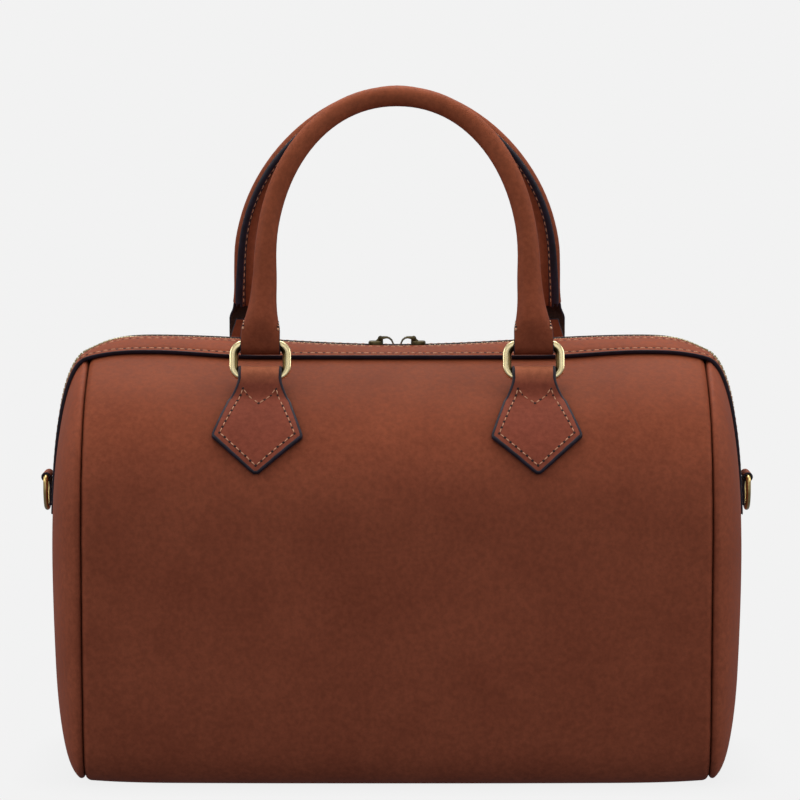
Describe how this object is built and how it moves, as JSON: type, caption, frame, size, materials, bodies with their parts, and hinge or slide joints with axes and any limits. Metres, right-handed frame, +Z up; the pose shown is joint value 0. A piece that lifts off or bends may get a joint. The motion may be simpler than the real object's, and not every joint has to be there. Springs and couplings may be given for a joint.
{
  "type": "leather satchel",
  "caption": "Duffle-shaped leather satchel with rolled top handles on metal rings, a zip over the lid and down the ends, kite-shaped handle tabs and end D-rings for a shoulder strap.",
  "frame": {"origin": "on the floor, under the middle of the bag", "axes": "+X to the right along the bag's length as seen from the front, +Y to the back, +Z up"},
  "size_m": [0.3382, 0.174, 0.3237],
  "materials": {
    "body_leather": "smooth cognac leather, satin",
    "strap_leather": "smooth cognac leather with dark painted edges",
    "ring_brass": "pale gold, polished satin",
    "zip_metal": "antique brass, satin",
    "tape_cloth": "woven dark brown tape"
  },
  "bodies": {
    "bag": {"body_wrap": "body_leather", "end_panel_left": "body_leather", "end_panel_right": "body_leather", "zip_strip_front": "strap_leather", "zip_strip_back": "strap_leather", "zip_tape": "tape_cloth", "zip_teeth": "zip_metal", "zip_slider_left": "zip_metal", "zip_slider_right": "zip_metal", "handle_front": "strap_leather", "handle_back": "strap_leather", "ring_front_left": "ring_brass", "ring_front_right": "ring_brass", "ring_back_left": "ring_brass", "ring_back_right": "ring_brass", "kite_tab_front_left": "strap_leather", "kite_tab_front_right": "strap_leather", "kite_tab_back_left": "strap_leather", "kite_tab_back_right": "strap_leather", "end_tab_left": "strap_leather", "end_tab_right": "strap_leather"},
    "left_d_ring": {"d_ring_left": "ring_brass"},
    "right_d_ring": {"d_ring_right": "ring_brass"},
    "left_zip_pull": {"zip_pull_left": "zip_metal"},
    "right_zip_pull": {"zip_pull_right": "zip_metal"}
  },
  "joints": [
    {"name": "left_d_ring_swing", "type": "hinge", "parent": "bag", "child": "left_d_ring", "pos_m": [-0.1668, 0, 0.1382], "axis": [0, 1, 0], "range_deg": [0, 165]},
    {"name": "right_d_ring_swing", "type": "hinge", "parent": "bag", "child": "right_d_ring", "pos_m": [0.1668, 0, 0.1382], "axis": [0, -1, 0], "range_deg": [0, 165]},
    {"name": "left_zip_pull_lift", "type": "hinge", "parent": "bag", "child": "left_zip_pull", "pos_m": [-0.0079, 0, 0.20358], "axis": [0, -1, 0], "range_deg": [0, 150]},
    {"name": "right_zip_pull_lift", "type": "hinge", "parent": "bag", "child": "right_zip_pull", "pos_m": [0.0079, 0, 0.20358], "axis": [0, 1, 0], "range_deg": [0, 150]}
  ]
}
